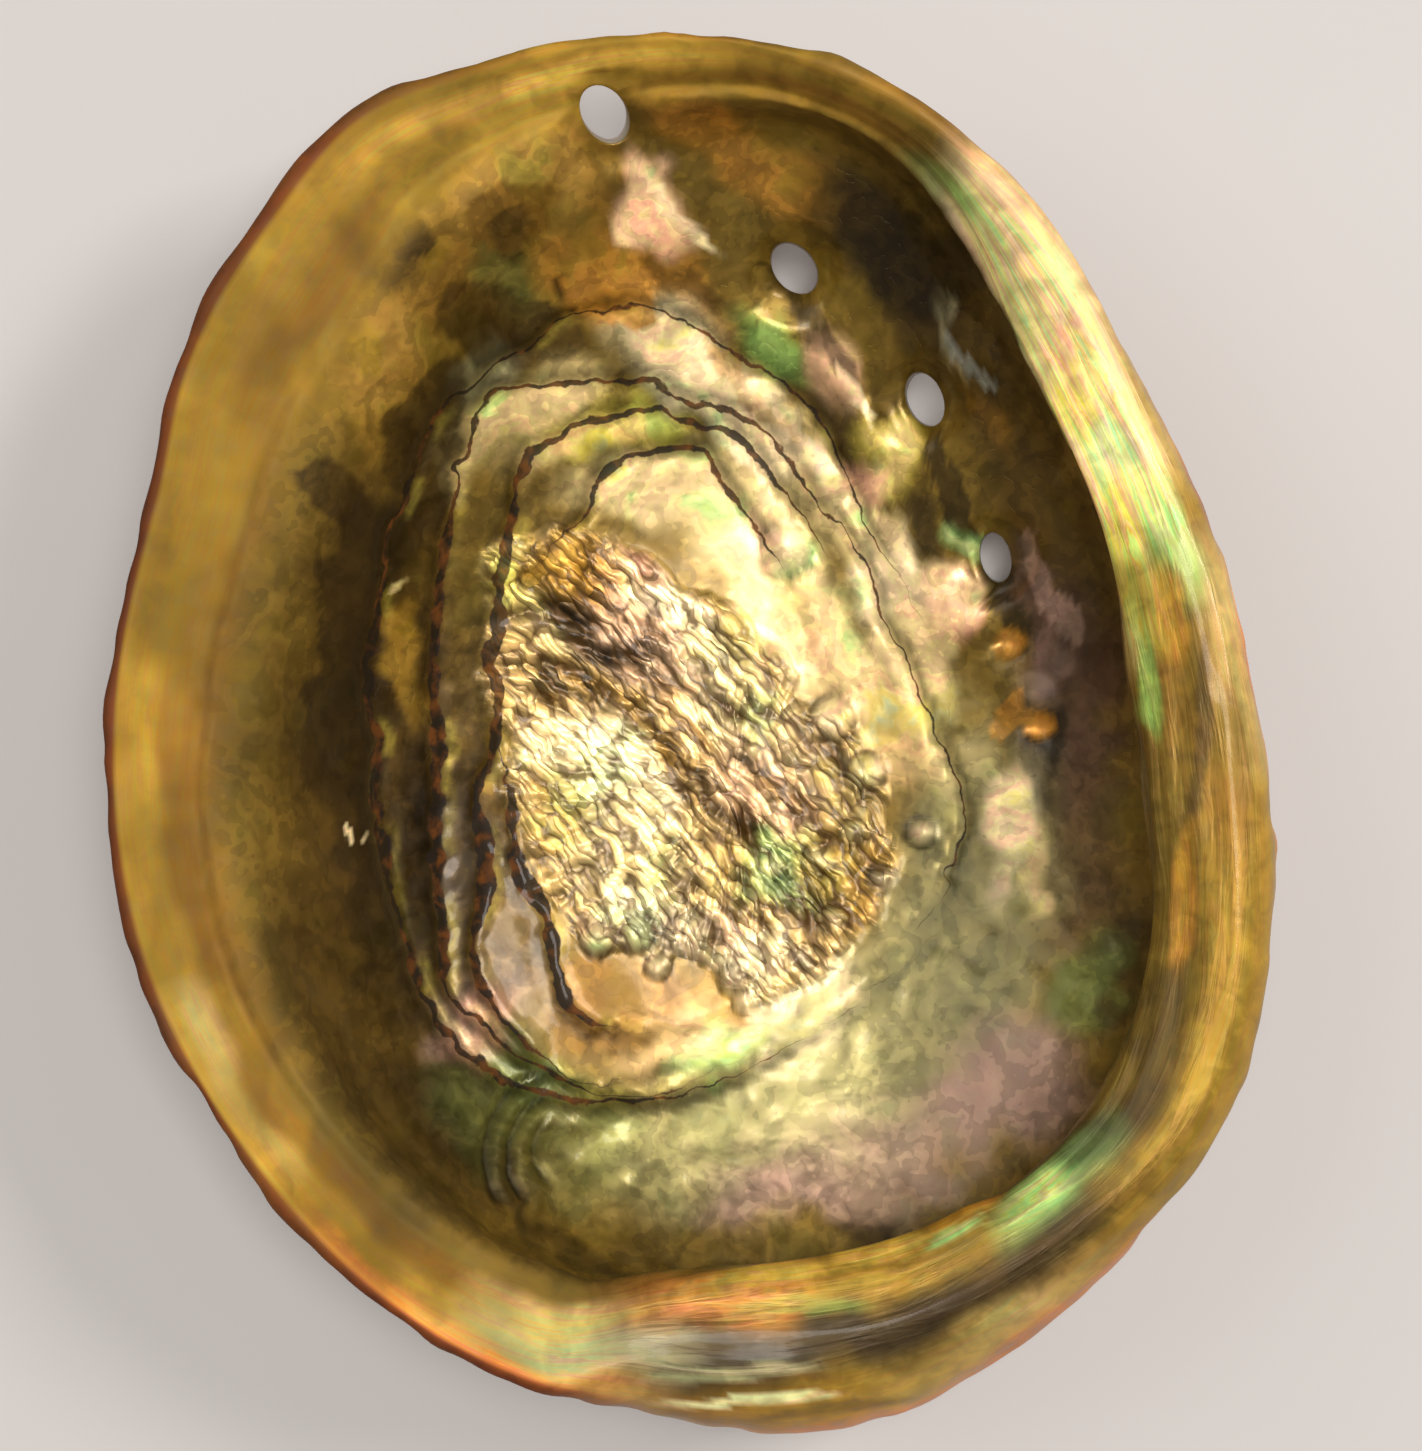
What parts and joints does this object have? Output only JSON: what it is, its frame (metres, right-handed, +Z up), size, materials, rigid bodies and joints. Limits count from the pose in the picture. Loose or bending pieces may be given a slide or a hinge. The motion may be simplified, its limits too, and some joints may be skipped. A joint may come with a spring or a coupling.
{
  "type": "abalone shell",
  "caption": "Polished abalone shell lying on its back: a deep pearly bowl with a folded inner shelf, a flared lip and a curved row of breathing holes.",
  "frame": {"origin": "on the surface that the shell lies on, below the middle of its bounding box", "axes": "+Z up out of the bowl, +Y to the front end of the shell, +X to the side with the folded shelf"},
  "size_m": [0.16, 0.195, 0.052],
  "materials": {
    "nacre": "gloss"
  },
  "bodies": {
    "root": {"shell": "nacre"}
  },
  "joints": []
}
